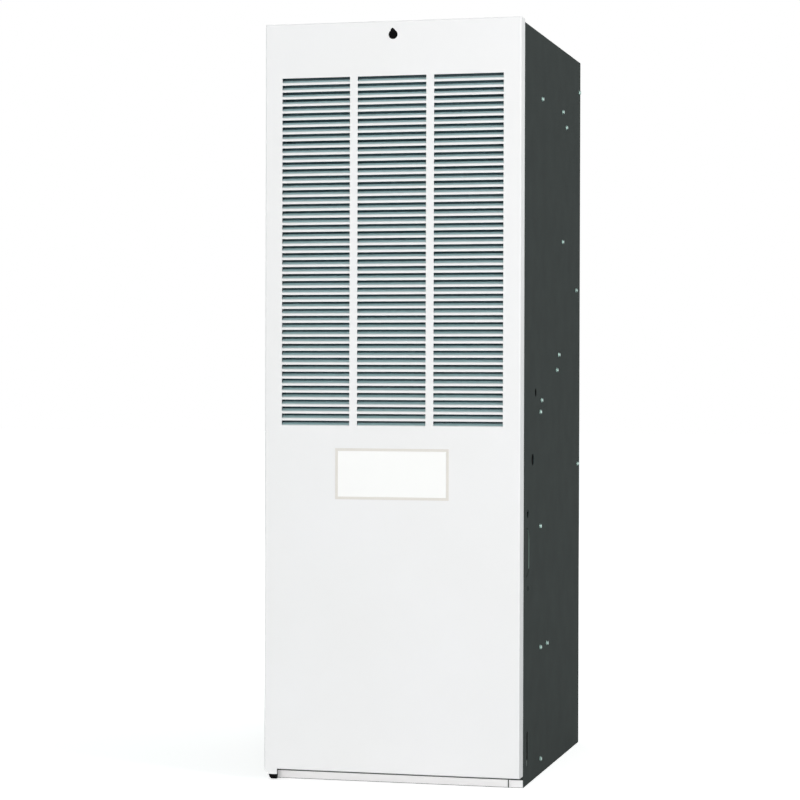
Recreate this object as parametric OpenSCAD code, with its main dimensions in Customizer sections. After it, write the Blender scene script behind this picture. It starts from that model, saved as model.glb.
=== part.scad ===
// Forced air gas furnace: downflow cabinet, louvred front door, blower, heat exchanger and gas train.
// Millimetres. +Z is up, -Y is the front, the origin is under the middle of the bounding box.

/* [Cabinet] */
// Width of the cabinet and door
body_width = 490; // [485:1:500]
// Depth from the door's face to the back panel
body_depth = 635; // [630:1:660]
// Height of the door's top edge above the floor
body_height = 1422.4; // [1422:0.1:1440]
// How far the cabinet's top lies below the door's top edge
cabinet_drop = 5.7; // [4:0.1:10]
// Thickness of the folded sheet metal
sheet = 1; // [0.8:0.1:1.2]
// Distance of the vestibule panel behind the door's face
vestibule_depth = 200; // [195:1:205]
// Height of the deck that carries the blower
deck_height = 648; // [646:1:652]
// Height of the white toe strip under the door
toe_height = 14.6; // [12:0.1:15]
// Height of the base pan's folded rim
pan_rim = 46; // [44:1:60]

/* [Door] */
// Depth of the door pan's folded edges
door_return = 33; // [30:1:36]
// Height of the door's bottom edge above the floor
door_bottom = 22; // [20:1:26]
// Radius of the door's folded outer edges
door_edge_radius = 2.5; // [1.5:0.1:4]
// Width of the hem folded in along the back of the door pan
door_hem = 18; // [14:1:19]
// Radius of the latch button's hole
latch_radius = 8.65; // [8:0.05:10]
// How far the latch button lies below the door's top edge
latch_drop = 25.5; // [24:0.1:27]
// Width of the bare name plate
plate_width = 217.5; // [200:0.5:240]
// Height of the bare name plate
plate_height = 95.4; // [80:0.2:110]
// How far the name plate's middle lies below the louvre field
plate_drop = 85.8; // [75:0.1:100]
// Thickness of the name plate
plate_thickness = 0.5; // [0.4:0.1:0.8]
// Width of the name plate's border
plate_border = 5; // [4:0.5:12]

/* [Louvres] */
// Number of louvre rows
louvre_rows = 50; // [40:1:50]
// Distance from one louvre row to the next
louvre_pitch = 13.1; // [12.5:0.05:13.1]
// Distance from the door's top edge to the louvre field
louvre_top_margin = 101.9; // [100.4:0.1:106]
// Height of flat metal left between two rows
louvre_land = 3.3; // [3:0.1:4]
// Width of plain door beside the outer columns
louvre_side_margin = 33; // [32:0.5:42]
// Width of the plain strip between two columns
louvre_mullion = 14.8; // [14:0.1:16]
// How far a blade leans into the door
louvre_depth = 11; // [10:0.25:12.5]
// Open height above a blade's free edge
louvre_gap = 3.8; // [3:0.1:4]

/* [Blower] */
// Radius of the blower wheel
wheel_radius = 135; // [128:1:137]
// Width of the blower wheel
wheel_width = 190; // [180:1:194]
// Number of forward-curved blades
wheel_blades = 40; // [32:1:44]
// Radius of the scroll at its cut-off
scroll_start = 148; // [146:1:152]
// Radius of the scroll where the outlet duct begins
scroll_end = 215; // [205:1:217]
// Height of the blower's shaft
blower_height = 900; // [890:1:910]
// Clearance between the blower housing and the back panel
blower_clearance = 20; // [16:1:24]
// Radius of the motor shaft
shaft_radius = 6.35; // [6:0.05:7]

/* [Burners and heat exchanger] */
// Number of burners and exchanger tubes
burner_count = 4; // [3:1:4]
// Height of the burners
burner_height = 170; // [166:1:174]
// Outer radius of an exchanger tube
tube_radius = 19; // [17:0.5:21]
// Radius of an exchanger tube's bends
tube_bend = 45; // [42:1:46]
// Columns of tubes in the condensing coil
coil_columns = 8; // [6:1:8]

/* [Pipes] */
// Outer radius of the flue and air pipes
pipe_radius = 30.15; // [30:0.05:30.3]
// Play between a pipe and its socket
pipe_play = 0.15; // [0.1:0.05:0.3]
// Depth of a pipe socket
socket_depth = 38; // [32:1:42]
// Radius of the tapped gas inlet
gas_bore = 10.6; // [10.2:0.1:11]
// Radius of the round knockout for the supply cable
cable_bore = 11.1; // [11:0.1:11.4]

/* [Hidden] */
$fn = 64;
tiny = 0.01;
running_gap = 0.05;
cabinet_height = body_height - cabinet_drop;
half_width = body_width / 2;
inner_half = half_width - sheet;
overall_depth = body_depth + plate_thickness;
cabinet_front = door_return + sheet;
back_face = body_depth - sheet;
deck_top = deck_height + sheet;
latch_height = body_height - latch_drop;
blower_depth = body_depth - scroll_end - blower_clearance;

// y of a place that lies d behind the door's face
function from_front(d) = d + plate_thickness - overall_depth / 2;

// louvre field
louvre_column = (body_width - 2 * louvre_side_margin - 2 * louvre_mullion) / 3;
column_step = louvre_column + louvre_mullion;
field_height = louvre_rows * louvre_pitch;
louvre_foot = body_height - louvre_top_margin - field_height;
plate_middle = louvre_foot - plate_drop;

// places shared by several pieces
latch_x = 2;
flue_x = 164 - inner_half;
air_x = inner_half - 94;
pipe_depth = 140;
gas_x = -175;
gas_depth = 65;
gas_height = 434;
gas_end_x = 8 - inner_half;
cable_depth = 121;
cable_height = deck_height - 42;
header_depth = 165;
inducer_x = flue_x + 52.8;
inducer_height = deck_height - 93;
coil_half = inner_half - 79;
coil_pitch = (2 * coil_half - 10) / coil_columns;
burner_pitch = (2 * coil_half + 30) / burner_count;
coil_low = deck_height - 150;
coil_high = deck_height - 34;
coil_rows = [coil_low + 32, coil_low + 84];
collector_front = body_depth - 45;
switch_x = inner_half - 14;
switch_height = deck_height - 58;
button_x = -90;
button_depth = vestibule_depth - 50;
burner_box_top = 226;
supply_half = 175;
supply_front = vestibule_depth + 50;
supply_back = back_face - 34;
fixing_x = 205;
fixing_front = supply_front + 20;
fixing_back = supply_back - 20;
fixing_radius = 3.5;
filter_half = inner_half - 20;
filter_low = louvre_foot - 1;
filter_high = louvre_foot + field_height + 4;
screw_radius = 2;
screw_reach = 6;

// screws of each side wall: distance behind the door's face, height
side_screws = [
    [206, cabinet_height - 123.1],
    [427, cabinet_height - 124.2],
    [467.5, cabinet_height - 151.3],
    [back_face - 13, cabinet_height - 63],
    [427, 1032.7],
    [back_face - 47.5, 941.7],
    [388.5, 806.4],
    [367, 775.9],
    [205.4, deck_height + 69.2],
    [192.4, deck_height + 47.1],
    [back_face - 26.2, deck_height - 65.2],
    [vestibule_depth - 6, 476.6],
    [vestibule_depth, 244.3],
    [vestibule_depth + 68, 245.3],
    [vestibule_depth + 3.6, 29.7]
];

// round holes of each side wall: distance behind the door's face, height, radius
side_holes = [[149, 732, 8], [cable_depth, cable_height, cable_bore], [74, 506, 7.5], [77, 366.5, 4.5]];

// obround gas knockout of the side wall
knockout_radius = 24;
knockout_half = 22;
knockout_recess = 1.6;

// colours
white_paint = [0.95, 0.95, 0.96];
charcoal = [0.25, 0.26, 0.26];
galvanised = [0.72, 0.74, 0.75];
zinc = [0.6, 0.68, 0.66];
black_plastic = [0.05, 0.05, 0.05];
stainless = [0.66, 0.65, 0.62];

// ---------- shared shapes ----------

// Box between two corners. Its y values are distances behind the door's face.
module block(low, high) {
    translate([low.x, from_front(low.y), low.z])
        cube(high - low);
}

// The children and their mirror image across the middle of the furnace
module both_sides() {
    children();
    mirror([1, 0, 0])
        children();
}

// Moves to a place given by its distance behind the door's face
module place(x, depth, z) {
    translate([x, from_front(depth), z])
        children();
}

// Turns +Z of the children to +X
module facing_x() {
    rotate([0, 90, 0])
        children();
}

// Turns +Z of the children to +Y
module facing_y() {
    rotate([-90, 0, 0])
        children();
}

// Extrudes a flat shape drawn in (y, z) along +X
module extrude_x(length) {
    rotate([90, 0, 90])
        linear_extrude(length)
            children();
}

// Extrudes a flat shape drawn in (x, z) along +Y
module extrude_y(length) {
    mirror([0, 1, 0])
        rotate([90, 0, 0])
            linear_extrude(length)
                children();
}

module ring(outer, inner) {
    difference() {
        circle(outer);
        circle(inner);
    }
}

// Round bar of the given wall, standing on z = 0
module pipe(outer, inner, length) {
    linear_extrude(length)
        ring(outer, inner);
}

// Points of a spiral round the origin
function spiral(first, last, start, sweep, steps) = [
    for (i = [0:steps])
        let (f = i / steps, r = first + (last - first) * f, a = start + sweep * f)
            [r * cos(a), r * sin(a)]
];

// ---------- cabinet ----------

module side_screw_holes() {
    for (spot = side_screws)
        place(inner_half - screw_reach, spot.x, spot.y)
            facing_x()
                cylinder(r = screw_radius + 0.1, h = screw_reach + 2 * sheet);
}

// Obround in the side wall's plane, drawn in (y, z) round its own middle
module obround(radius) {
    for (end = [-1, 1])
        translate([0, end * knockout_half])
            circle(radius);
    translate([-radius, -knockout_half])
        square([2 * radius, 2 * knockout_half]);
}

// Side wall of the right-hand side with its front flange, without the gas opening
module side_wall() {
    difference() {
        union() {
            block([inner_half, cabinet_front, 0], [half_width, back_face, cabinet_height]);
            block([inner_half - 21, cabinet_front, 0],
                  [inner_half + tiny, cabinet_front + sheet, cabinet_height]);
        }
        side_screw_holes();
        for (hole = side_holes)
            place(inner_half - tiny, hole[0], hole[1])
                facing_x()
                    cylinder(r = hole[2], h = sheet + 1);
        block([inner_half - tiny, 68, 35], [half_width + 1, 80, 99]);
    }
}

module right_side_panel() {
    color(charcoal) {
        difference() {
            side_wall();
            place(inner_half - 1, gas_depth, gas_height)
                extrude_x(sheet + 2)
                    obround(knockout_radius);
            // hole for the door switch's plunger in the front flange
            place(switch_x, cabinet_front - 1, switch_height)
                facing_y()
                    cylinder(r = 4, h = sheet + 2);
        }
        // the knockout is pressed in and stays closed
        place(half_width - knockout_recess - sheet, gas_depth, gas_height) {
            extrude_x(sheet)
                obround(knockout_radius + sheet);
            extrude_x(knockout_recess)
                difference() {
                    obround(knockout_radius + sheet);
                    obround(knockout_radius);
                }
        }
    }
}

module left_side_panel() {
    color(charcoal)
        mirror([1, 0, 0])
            difference() {
                side_wall();
                place(inner_half - 1, gas_depth, gas_height)
                    facing_x()
                        cylinder(r = 19, h = sheet + 2);
            }
}

module back_panel() {
    color(charcoal)
        difference() {
            union() {
                block([-half_width, back_face, 0], [half_width, body_depth, cabinet_height]);
                both_sides()
                    block([inner_half - sheet, back_face - 30, pan_rim + 2],
                          [inner_half, back_face + tiny, cabinet_height - 25]);
            }
            both_sides()
                side_screw_holes();
        }
}

module top_panel() {
    top_low = cabinet_height - sheet;
    color(charcoal)
        difference() {
            union() {
                block([-inner_half, cabinet_front + 2 * sheet, top_low],
                      [inner_half, back_face, cabinet_height]);
                both_sides()
                    block([inner_half - sheet, cabinet_front + 3 * sheet, cabinet_height - 20],
                          [inner_half, back_face, top_low + tiny]);
                block([-inner_half + 2, cabinet_front + 2 * sheet, cabinet_height - 20],
                      [inner_half - 2, cabinet_front + 3 * sheet, top_low + tiny]);
            }
            for (x = [flue_x, air_x])
                place(x, pipe_depth, top_low - 1)
                    cylinder(r = pipe_radius + 8, h = sheet + 2);
            // clearance for the latch socket in the front flange
            place(latch_x, cabinet_front, latch_height)
                facing_y()
                    cylinder(r = 9.5, h = 4);
        }
}

module base_pan() {
    color(galvanised)
        difference() {
            union() {
                block([-inner_half, cabinet_front + sheet, 0], [inner_half, back_face, sheet]);
                both_sides()
                    block([inner_half - sheet, cabinet_front + sheet, 0],
                          [inner_half, back_face, pan_rim]);
                block([-inner_half, cabinet_front + sheet, 0],
                      [inner_half, cabinet_front + 2 * sheet, pan_rim - 4]);
                block([-supply_half - sheet, supply_front - sheet, 0],
                      [supply_half + sheet, supply_back + sheet, 21]);
            }
            block([-supply_half, supply_front, -1], [supply_half, supply_back, 22]);
            both_sides()
                side_screw_holes();
            for (x = [-fixing_x, fixing_x], depth = [fixing_front, fixing_back])
                place(x, depth, -1)
                    cylinder(r = fixing_radius, h = sheet + 2);
        }
}

toe_left = -half_width + 16.7;
toe_right = half_width - 28.3;
// the toe pieces end just above the floor
toe_gap = 1.2;

module toe_strip() {
    color(white_paint) {
        block([toe_left, door_return, toe_gap], [toe_right, cabinet_front, toe_height]);
        block([toe_left + 7, door_return, toe_height - sheet],
              [toe_right, cabinet_front + sheet, toe_height]);
    }
}

module toe_end_block() {
    color(white_paint)
        block([toe_right + 2.5, door_return - 1, toe_gap], [half_width, cabinet_front, toe_height]);
}

// Black clip that the door's corner tab rests on, seen from the front
module door_support_clip() {
    low = 3.6;
    high = door_bottom - tab_drop - 0.4;
    middle = (low + high) / 2;
    right = tab_width - 0.5;
    color(black_plastic)
        place(-half_width, 0.3, 0) {
            extrude_y(6)
                polygon([
                    [8, high], [right, high], [right, middle + 1.6], [right - 7, middle + 0.5],
                    [right - 7, middle - 0.5], [right, middle - 1.6], [right, low], [13.4, low]
                ]);
            translate([12.6, 0, middle + 0.6])
                cube([3, door_return - 0.3, high - middle - 0.6]);
            translate([13.6, door_return - 0.3 - tiny, low])
                cube([2, sheet + tiny, high - low]);
        }
}

module front_header() {
    low = cabinet_height - 72;
    color(charcoal) {
        difference() {
            block([-inner_half + 2, cabinet_front + sheet, low],
                  [inner_half - 2, cabinet_front + 2 * sheet, cabinet_height - 2]);
            place(latch_x, cabinet_front, latch_height)
                facing_y()
                    cylinder(r = 6, h = 4);
        }
        block([-inner_half + 2, cabinet_front + 2 * sheet - tiny, low],
              [inner_half - 2, cabinet_front + 26, low + sheet]);
        // socket of the latch stud
        place(latch_x, cabinet_front + sheet, latch_height)
            facing_y()
                pipe(9, 5 + running_gap, 8);
    }
}

module door_gasket() {
    color(black_plastic)
        both_sides()
            block([inner_half - 9, door_return, pan_rim],
                  [inner_half - 2, cabinet_front, cabinet_height - 17]);
}

module vestibule_panel() {
    color(galvanised)
        difference() {
            union() {
                block([-inner_half + sheet, vestibule_depth, sheet],
                      [inner_half - sheet, vestibule_depth + sheet, deck_height]);
                both_sides()
                    block([inner_half - 2 * sheet, vestibule_depth - 12, pan_rim + 2],
                          [inner_half - sheet, vestibule_depth + 14, deck_height]);
            }
            both_sides()
                side_screw_holes();
            for (i = [0:burner_count - 1])
                place(burner_x(i), vestibule_depth - 1, burner_height)
                    facing_y()
                        cylinder(r = tube_radius - 1.5, h = sheet + 2);
            block([-coil_half + 15, vestibule_depth - 1, coil_low + 12],
                  [coil_half - 15, vestibule_depth + 2, coil_high - 12]);
        }
}

module blower_deck() {
    color(galvanised)
        difference() {
            union() {
                block([-inner_half + sheet, cabinet_front + 2 * sheet, deck_height],
                      [inner_half - sheet, back_face, deck_top]);
                both_sides()
                    block([inner_half - 2 * sheet, cabinet_front + 2 * sheet, deck_height],
                          [inner_half - sheet, back_face - 32, deck_height + 30]);
            }
            block([-outlet_half + 3, blower_depth + cutoff_y + 3, deck_height - 1],
                  [outlet_half - 3, blower_depth + scroll_end - 3, deck_top + 1]);
            for (x = [flue_x, air_x])
                place(x, pipe_depth, deck_height - 1)
                    cylinder(r = pipe_radius + 0.5, h = sheet + 2);
        }
}

// ---------- door ----------

// Flat outline with its two front corners rounded, front edge on y = 0
module folded_outline(half, depth, radius) {
    for (side = [-1, 1])
        translate([side * (half - radius), radius])
            circle(radius);
    translate([-half + radius, 0])
        square([2 * (half - radius), depth]);
    translate([-half, radius])
        square([2 * half, depth - radius]);
}

// Solid slab in the door's outline, shrunk by inset on every face but the back
module door_slab(inset) {
    low = door_bottom + inset;
    high = body_height - inset;
    depth = door_return + inset;
    radius = door_edge_radius - inset;
    intersection() {
        place(0, inset, low)
            linear_extrude(high - low)
                folded_outline(half_width - inset, depth, radius);
        place(-half_width, inset, (low + high) / 2)
            extrude_x(body_width)
                mirror([1, -1])
                    folded_outline((high - low) / 2, depth, radius);
    }
}

// Louvre row: flat land at the foot and a blade that leans back to its free upper edge
module louvre_profile() {
    rise = louvre_pitch - louvre_gap;
    polygon([
        [0, 0],
        [sheet, 0],
        [sheet, louvre_land],
        [louvre_depth, rise - 1.1 * sheet],
        [louvre_depth, rise],
        [0.8, louvre_land + 1],
        [0, louvre_land]
    ]);
}

// One column of louvres. Every row runs a little way behind the plain metal beside it,
// and the topmost blade stands behind the plain metal above.
module louvre_column(x) {
    place(x - louvre_column / 2 - sheet, 0, louvre_foot)
        for (row = [0:louvre_rows])
            translate([0, 0, row * louvre_pitch])
                extrude_x(louvre_column + 2 * sheet)
                    louvre_profile();
}

// Tab below the door's left corner, seen from the front
tab_width = 25;
tab_drop = 9.7;

module corner_tab() {
    low = door_bottom - tab_drop;
    place(-half_width, 0, 0)
        extrude_y(sheet)
            polygon([
                [0, door_bottom + 5], [0, door_bottom - 0.5], [8, low + 0.4], [9, low],
                [tab_width, low], [tab_width, door_bottom + 5]
            ]);
}

module door_panel() {
    color(white_paint) {
        difference() {
            door_slab(0);
            door_slab(sheet);
            for (column = [-1:1])
                block([column * column_step - louvre_column / 2, -1, louvre_foot],
                      [column * column_step + louvre_column / 2, 2, louvre_foot + field_height]);
            place(latch_x, -1, latch_height)
                facing_y()
                    cylinder(r = latch_radius, h = 3);
        }
        for (column = [-1:1])
            louvre_column(column * column_step);
        both_sides()
            block([inner_half - door_hem, door_return - sheet, door_bottom + sheet],
                  [inner_half + tiny, door_return, body_height - sheet]);
        corner_tab();
    }
}

module name_plate() {
    middle_x = 1.5;
    low = [middle_x - plate_width / 2, plate_middle - plate_height / 2];
    high = [middle_x + plate_width / 2, plate_middle + plate_height / 2];
    color([0.89, 0.88, 0.87])
        difference() {
            block([low.x, -plate_thickness, low.y], [high.x, 0, high.y]);
            block([low.x + plate_border, -1, low.y + plate_border],
                  [high.x - plate_border, -plate_thickness / 2, high.y - plate_border]);
        }
}

// Turn button with a short pointer that lies on the door's face
module door_latch() {
    button_radius = latch_radius - 0.3;
    color(black_plastic)
        place(latch_x, -plate_thickness, latch_height)
            facing_y() {
                difference() {
                    union() {
                        cylinder(r = button_radius, h = sheet + plate_thickness + 3);
                        linear_extrude(plate_thickness)
                            polygon([[-5.2, -6], [-4.2, -10], [-1.4, -12.5], [1.6, -11], [5.2, -6]]);
                    }
                    translate([-button_radius + 2, -0.8, -1])
                        cube([2 * button_radius - 4, 1.6, 1.3]);
                }
                translate([0, 0, plate_thickness + sheet + 0.3])
                    cylinder(r = latch_radius + 2.5, h = 1.5);
                cylinder(r = 5, h = cabinet_front + 6);
            }
}

// Rails on the door's inner face that hold the filter
module filter_rack() {
    color(galvanised) {
        both_sides()
            place(filter_half + 1, sheet, filter_low)
                linear_extrude(filter_high - filter_low)
                    rail_section();
        block([-filter_half, sheet, filter_low - sheet], [filter_half, door_return - 1, filter_low]);
        for (depth = [louvre_depth + 2, door_return - 2])
            block([-filter_half, depth, filter_low - sheet],
                  [filter_half, depth + sheet, filter_low + 9]);
        block([-filter_half, sheet, filter_low - 12], [filter_half, 2 * sheet, filter_low]);
    }
}

// C-shaped rail with a foot on the door, drawn in (x, y)
module rail_section() {
    depth = door_return - 1 - sheet;
    square([sheet, depth]);
    square([10, sheet]);
    for (lip = [louvre_depth + 2 - sheet, depth - sheet])
        translate([-10, lip])
            square([10 + sheet, sheet]);
}

module filter_frame() {
    low = [-filter_half, louvre_depth + 4, filter_low];
    high = [filter_half, door_return - 3, filter_high];
    color([0.2, 0.22, 0.23])
        difference() {
            block(low, high);
            block([low.x + 14, low.y - 1, low.z + 14], [high.x - 14, high.y + 1, high.z - 14]);
        }
}

module filter_media() {
    pleats = 30;
    low = filter_low + 14;
    step = (filter_high - filter_low - 28) / pleats;
    near = louvre_depth + 5;
    far = door_return - 5;
    front_line = [for (i = [0:pleats]) [i % 2 == 0 ? near : far, low + i * step]];
    back_line = [for (i = [pleats:-1:0]) [(i % 2 == 0 ? near : far) + 1, low + i * step]];
    color([0.28, 0.33, 0.35])
        place(-filter_half + 14, 0, 0)
            extrude_x(2 * filter_half - 28)
                polygon(concat(front_line, back_line));
}

// ---------- blower ----------

outlet_half = wheel_width / 2 + 13;
cutoff_angle = -100;
cutoff_y = scroll_start * cos(cutoff_angle);
inlet_radius = wheel_radius - 17;
outlet_drop = blower_height - deck_top;

// Spiral of the blower housing with its outlet duct, drawn in (y, z) round the shaft
module scroll_outline(grow, drop) {
    polygon(concat(
        spiral(scroll_start + grow, scroll_end + grow, cutoff_angle, -260, 26),
        [[scroll_end + grow, -drop], [cutoff_y - grow, -drop]]
    ));
}

module blower_scroll() {
    color(galvanised)
        place(-outlet_half, blower_depth, blower_height)
            extrude_x(2 * outlet_half)
                difference() {
                    scroll_outline(sheet, outlet_drop);
                    scroll_outline(0, outlet_drop + 5);
                }
}

// Side cheek with a flared air inlet, for the right-hand side
module blower_cheek() {
    flare = 10;
    place(outlet_half, blower_depth, blower_height) {
        extrude_x(sheet)
            difference() {
                scroll_outline(sheet, outlet_drop);
                circle(inlet_radius);
            }
        translate([sheet, 0, 0])
            facing_x()
                rotate_extrude()
                    translate([inlet_radius + flare, 0])
                        intersection() {
                            ring(flare, flare - sheet);
                            translate([-flare, 0])
                                square(flare);
                        }
    }
}

module blower_side_right() {
    color(galvanised)
        blower_cheek();
}

module blower_side_left() {
    color(galvanised)
        mirror([1, 0, 0])
            blower_cheek();
}

// Section of one forward-curved blade, from the inner to the outer radius
module blade_section(inner, outer, bend, thickness) {
    steps = 4;
    edge = [for (i = [0:steps])
        let (f = i / steps, r = inner + (outer - inner) * f)
            [r, bend * f * f, thickness / 2 / r * 180 / PI]];
    polygon(concat(
        [for (e = edge) [e[0] * cos(e[1] + e[2]), e[0] * sin(e[1] + e[2])]],
        [for (i = [steps:-1:0])
            let (e = edge[i])
                [e[0] * cos(e[1] - e[2]), e[0] * sin(e[1] - e[2])]]
    ));
}

module blower_wheel() {
    half = wheel_width / 2;
    inner = wheel_radius - 22;
    color(galvanised)
        place(0, blower_depth, blower_height)
            facing_x() {
                translate([0, 0, -half + 1])
                    linear_extrude(wheel_width - 2)
                        for (i = [0:wheel_blades - 1])
                            rotate(i * 360 / wheel_blades)
                                blade_section(inner, wheel_radius - 0.5, 9, 1.2);
                for (z = [-half, half - 3])
                    translate([0, 0, z])
                        pipe(wheel_radius, inner - 1, 3);
                translate([0, 0, -1])
                    pipe(wheel_radius - 4, shaft_radius, 2);
                translate([0, 0, -14])
                    pipe(16, shaft_radius, 30);
            }
}

module blower_shaft() {
    color(stainless)
        place(-80, blower_depth, blower_height)
            facing_x()
                cylinder(r = shaft_radius, h = 105);
}

motor_radius = 68;
motor_left = -170;
motor_right = -58;

module blower_motor() {
    length = motor_right - motor_left;
    color([0.2, 0.21, 0.22])
        place(motor_left, blower_depth, blower_height)
            facing_x()
                difference() {
                    rotate_extrude()
                        polygon([
                            [0, 0], [motor_radius - 14, 0], [motor_radius - 2, 9],
                            [motor_radius - 2, 22], [motor_radius, 22],
                            [motor_radius, length - 22], [motor_radius - 2, length - 22],
                            [motor_radius - 2, length - 9], [motor_radius - 14, length],
                            [20, length], [18, length + 5], [0, length + 5]
                        ]);
                    translate([0, 0, motor_right - motor_left - 24])
                        cylinder(r = shaft_radius + running_gap, h = 40);
                }
}

module motor_mount() {
    band_left = -outlet_half - 13;
    leg = inlet_radius + 15;
    color(galvanised) {
        place(band_left, blower_depth, blower_height)
            for (i = [0:2])
                rotate([i * 120 + 30, 0, 0]) {
                    // arm over the flared inlet, leg to the cheek, and foot on it
                    translate([0, -7, motor_radius + 0.5])
                        cube([2, 14, leg + 2 - motor_radius - 0.5]);
                    translate([0, -7, leg])
                        cube([13 - sheet, 14, 2]);
                    translate([11 - sheet, -7, leg])
                        cube([2, 14, 13]);
                }
        place(band_left, blower_depth, blower_height)
            facing_x()
                pipe(motor_radius + 1.5, motor_radius, 24);
    }
}

module motor_capacitor() {
    color([0.75, 0.77, 0.78])
        place(outlet_half + sheet + 15, blower_depth + 60, deck_top + 30)
            linear_extrude(90) {
                for (y = [-12, 12])
                    translate([0, y])
                        circle(15);
                translate([-15, -12])
                    square([30, 24]);
            }
}

// ---------- heat exchanger ----------

function burner_x(i) = (i - (burner_count - 1) / 2) * burner_pitch;

module exchanger_tubes() {
    back_bend = collector_front - 50;
    front_bend = vestibule_depth + 70;
    wall = 1.2;
    first = vestibule_depth + sheet;
    color(stainless)
        for (i = [0:burner_count - 1])
            translate([burner_x(i), 0, burner_height]) {
                place(0, first, 0)
                    facing_y()
                        pipe(tube_radius, tube_radius - wall, back_bend - first);
                place(0, back_bend, tube_bend)
                    tube_elbow(-90, wall);
                place(0, front_bend, 2 * tube_bend)
                    facing_y()
                        pipe(tube_radius, tube_radius - wall, back_bend - front_bend);
                place(0, front_bend, 3 * tube_bend)
                    tube_elbow(90, wall);
                place(0, front_bend, 4 * tube_bend)
                    facing_y()
                        pipe(tube_radius, tube_radius - wall, collector_front - front_bend);
            }
}

// Half-turn bend in the (y, z) plane, starting at the given angle
module tube_elbow(start, wall) {
    rotate([90, 0, 90])
        rotate([0, 0, start])
            rotate_extrude(angle = 180)
                translate([tube_bend, 0])
                    ring(tube_radius, tube_radius - wall);
}

module rear_collector() {
    wall = 1.2;
    back = collector_front + 30;
    tube_top = burner_height + 4 * tube_bend;
    low = tube_top - tube_radius - 10;
    color(stainless)
        difference() {
            block([-coil_half, collector_front, low], [coil_half, back, coil_high]);
            block([-coil_half + wall, collector_front + wall, low + wall],
                  [coil_half - wall, back - wall, coil_high - wall]);
            for (i = [0:burner_count - 1])
                place(burner_x(i), collector_front - 1, tube_top)
                    facing_y()
                        cylinder(r = tube_radius - wall, h = 3);
            for (i = [0:coil_columns - 1], z = coil_rows)
                place(coil_x(i), collector_front - 1, z)
                    facing_y()
                        cylinder(r = 8, h = 3);
        }
}

function coil_x(i) = (i - (coil_columns - 1) / 2) * coil_pitch;

module condensing_coil() {
    front = vestibule_depth + sheet;
    radius = 9;
    wall = 1;
    color(stainless) {
        for (depth = [front, collector_front - 2])
            place(0, depth, 0)
                extrude_y(2)
                    difference() {
                        translate([-coil_half, coil_low])
                            square([2 * coil_half, coil_high - coil_low]);
                        for (i = [0:coil_columns - 1], z = coil_rows)
                            translate([coil_x(i), z])
                                circle(radius - wall);
                    }
        for (i = [0:coil_columns - 1], z = coil_rows)
            place(coil_x(i), front + 2, z)
                facing_y()
                    pipe(radius, radius - wall, collector_front - front - 4);
        for (z = [coil_low, coil_high - 1])
            block([-coil_half, front + 2, z], [coil_half, collector_front - 2, z + 1]);
    }
}

// Folded ribbon of fins between two heights, drawn in (x, z)
module fin_ribbon(low, high) {
    folds = 40;
    rise = 2;
    step = 2 * (coil_half - 3) / folds;
    under = [for (i = [0:folds]) [-coil_half + 3 + i * step, i % 2 == 0 ? low : high - rise]];
    over = [for (i = [folds:-1:0]) [-coil_half + 3 + i * step, i % 2 == 0 ? low + rise : high]];
    polygon(concat(under, over));
}

module coil_fins() {
    radius = 9;
    gap = 0.1;
    lows = [coil_low + 1, coil_rows[0] + radius + gap, coil_rows[1] + radius + gap];
    highs = [coil_rows[0] - radius - gap, coil_rows[1] - radius - gap, coil_high - 1];
    color([0.8, 0.81, 0.82])
        for (i = [0:2])
            place(0, vestibule_depth + 14, 0)
                extrude_y(collector_front - vestibule_depth - 28)
                    fin_ribbon(lows[i], highs[i]);
}

module header_box() {
    wall = 2.5;
    half = coil_half - 5;
    color(black_plastic) {
        difference() {
            block([-half, header_depth, coil_low + 2], [half, vestibule_depth, coil_high - 2]);
            block([-half + wall, header_depth + wall, coil_low + 2 + wall],
                  [half - wall, vestibule_depth + 1, coil_high - 2 - wall]);
            place(inducer_x, header_depth - 1, inducer_height)
                facing_y()
                    cylinder(r = 28, h = wall + 2);
        }
        for (x = [70:22:136])
            block([x, header_depth - 4, coil_low + 10], [x + 3, header_depth + 1, coil_high - 10]);
    }
}

// ---------- combustion-air blower ----------

inducer_front = 115;
inducer_start = 60;
inducer_end = 90;

// Spiral of the combustion-air blower with its upward outlet, drawn in (x, z) round the shaft
module inducer_outline(grow, rise) {
    polygon(concat(
        spiral(inducer_start + grow, inducer_end + grow, 105, -285, 28),
        [[-inducer_end - grow, rise], [inducer_start * cos(105) + grow, rise]]
    ));
}

module inducer_housing() {
    wall = 2;
    depth = header_depth - inducer_front;
    rise = 70;
    color([0.16, 0.16, 0.17]) {
        place(inducer_x, inducer_front, inducer_height)
            difference() {
                extrude_y(depth)
                    inducer_outline(wall, rise);
                translate([0, wall, 0])
                    extrude_y(depth - 2 * wall)
                        inducer_outline(0, rise - wall);
                facing_y()
                    translate([0, 0, -1])
                        cylinder(r = 5, h = wall + 2);
                facing_y()
                    translate([0, 0, depth - wall - 1])
                        cylinder(r = 28, h = wall + 2);
                translate([flue_x - inducer_x, pipe_depth - inducer_front, rise - wall - 1])
                    cylinder(r = 23, h = wall + 2);
            }
        // socket that the flue pipe stands in
        place(flue_x, pipe_depth, inducer_height + rise) {
            difference() {
                cylinder(r = pipe_radius + 2.2, h = 22);
                translate([0, 0, 2])
                    cylinder(r = pipe_radius + pipe_play, h = 21);
                translate([0, 0, -1])
                    cylinder(r = 23, h = 4);
            }
        }
    }
}

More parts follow.
